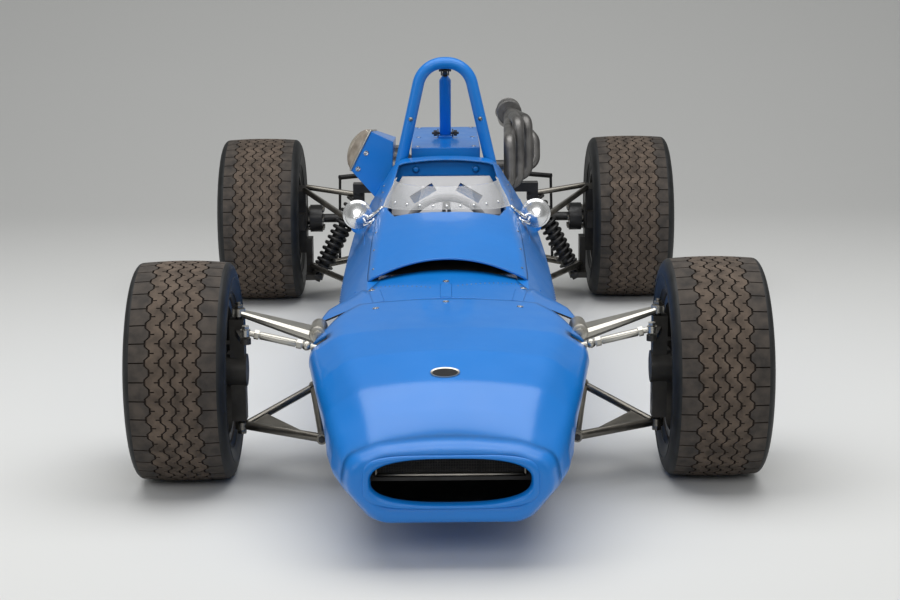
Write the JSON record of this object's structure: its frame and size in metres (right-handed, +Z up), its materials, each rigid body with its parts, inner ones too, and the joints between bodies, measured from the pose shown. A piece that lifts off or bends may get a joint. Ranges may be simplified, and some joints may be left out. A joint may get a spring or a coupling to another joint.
{
  "type": "open wheel racing car",
  "caption": "Single-seat open wheel racing car with an oval radiator mouth, wrap-round windscreen, roll hoop, exposed rear engine and wide treaded tyres on outboard suspension.",
  "frame": {"origin": "on the ground under the middle of the car's length and width", "axes": "+Z up, the nose points along -Y, +X is the car's left side"},
  "size_m": [1.618, 3.6, 0.93],
  "materials": {
    "body_blue": "gloss",
    "tub_blue": "gloss",
    "bare_aluminium": "satin",
    "engine_alloy": "satin",
    "bright_steel": "gloss",
    "polished": "gloss",
    "dark_metal": "satin",
    "exhaust_black": "matte",
    "disc_steel": "satin",
    "gauze": "satin",
    "rim_metal": "satin",
    "tyre": "matte",
    "screen": "gloss",
    "black_leather": "satin"
  },
  "bodies": {
    "chassis": {"air_box": "body_blue", "air_gauze": "gauze", "anti_roll_bar": "dark_metal", "carburettors": "engine_alloy", "cylinder_head": "engine_alloy", "dash_panel": "dark_metal", "engine_block": "engine_alloy", "engine_deck": "body_blue", "exhaust": "exhaust_black", "front_frame": "bare_aluminium", "front_hatch": "body_blue", "front_lower_arm_left": "bright_steel", "front_lower_arm_right": "bright_steel", "gearbox": "engine_alloy", "mirror_left": "polished", "mirror_right": "polished", "nose_cone": "body_blue", "radiator": "bare_aluminium", "rear_coil_over_left": "dark_metal", "rear_coil_over_right": "dark_metal", "rear_frame": "dark_metal", "rear_lower_links_left": "bright_steel", "rear_lower_links_right": "bright_steel", "rear_upper_links_left": "bright_steel", "rear_upper_links_right": "bright_steel", "rear_upright_left": "dark_metal", "rear_upright_right": "dark_metal", "rocker_arm_left": "bright_steel", "rocker_arm_right": "bright_steel", "roll_brace": "body_blue", "roll_hoop": "body_blue", "scuttle": "body_blue", "seat": "bare_aluminium", "shoulder_panel": "body_blue", "tub": "tub_blue", "vent_panel": "dark_metal", "windscreen": "screen"},
    "knuckle_left": {"knuckle_left": "dark_metal"},
    "wheel_front_left": {"front_tyre_left": "tyre", "front_rim_left": "rim_metal", "front_disc_left": "disc_steel"},
    "wheel_rear_left": {"rear_tyre_left": "tyre", "rear_rim_left": "rim_metal", "rear_disc_left": "disc_steel", "halfshaft_left": "dark_metal"},
    "knuckle_right": {"knuckle_right": "dark_metal"},
    "wheel_front_right": {"front_tyre_right": "tyre", "front_rim_right": "rim_metal", "front_disc_right": "disc_steel"},
    "wheel_rear_right": {"rear_tyre_right": "tyre", "rear_rim_right": "rim_metal", "rear_disc_right": "disc_steel", "halfshaft_right": "dark_metal"},
    "steering_wheel": {"steering_wheel": "black_leather"},
    "steering_rack": {"steering_rack": "bright_steel"}
  },
  "joints": [
    {"name": "steer_left", "type": "hinge", "parent": "chassis", "child": "knuckle_left", "pos_m": [0.518, -1.07, 0.272], "axis": [0, 0, 1], "range_deg": [-20, 20]},
    {"name": "spin_front_left", "type": "hinge", "parent": "knuckle_left", "child": "wheel_front_left", "pos_m": [0.65, -1.07, 0.272], "axis": [1, 0, 0], "continuous": true},
    {"name": "spin_rear_left", "type": "hinge", "parent": "chassis", "child": "wheel_rear_left", "pos_m": [0.666, 1.23, 0.292], "axis": [1, 0, 0], "continuous": true},
    {"name": "steer_right", "type": "hinge", "parent": "chassis", "child": "knuckle_right", "pos_m": [-0.518, -1.07, 0.272], "axis": [0, 0, 1], "range_deg": [-20, 20]},
    {"name": "spin_front_right", "type": "hinge", "parent": "knuckle_right", "child": "wheel_front_right", "pos_m": [-0.65, -1.07, 0.272], "axis": [1, 0, 0], "continuous": true},
    {"name": "spin_rear_right", "type": "hinge", "parent": "chassis", "child": "wheel_rear_right", "pos_m": [-0.666, 1.23, 0.292], "axis": [1, 0, 0], "continuous": true},
    {"name": "steering_wheel_turn", "type": "hinge", "parent": "chassis", "child": "steering_wheel", "pos_m": [0, 0.03, 0.41], "axis": [0, 0.9985, 0.0546], "range_deg": [-240, 240]},
    {"name": "rack_slide", "type": "slide", "parent": "chassis", "child": "steering_rack", "axis": [1, 0, 0], "range_m": [-0.0411, 0.0411]}
  ],
  "couplings": [
    {"joint": "steer_right", "follows": "steer_left", "ratio": 1},
    {"joint": "steering_wheel_turn", "follows": "steer_left", "ratio": 12},
    {"joint": "rack_slide", "follows": "steer_left", "m_per_rad": 0.1175}
  ]
}
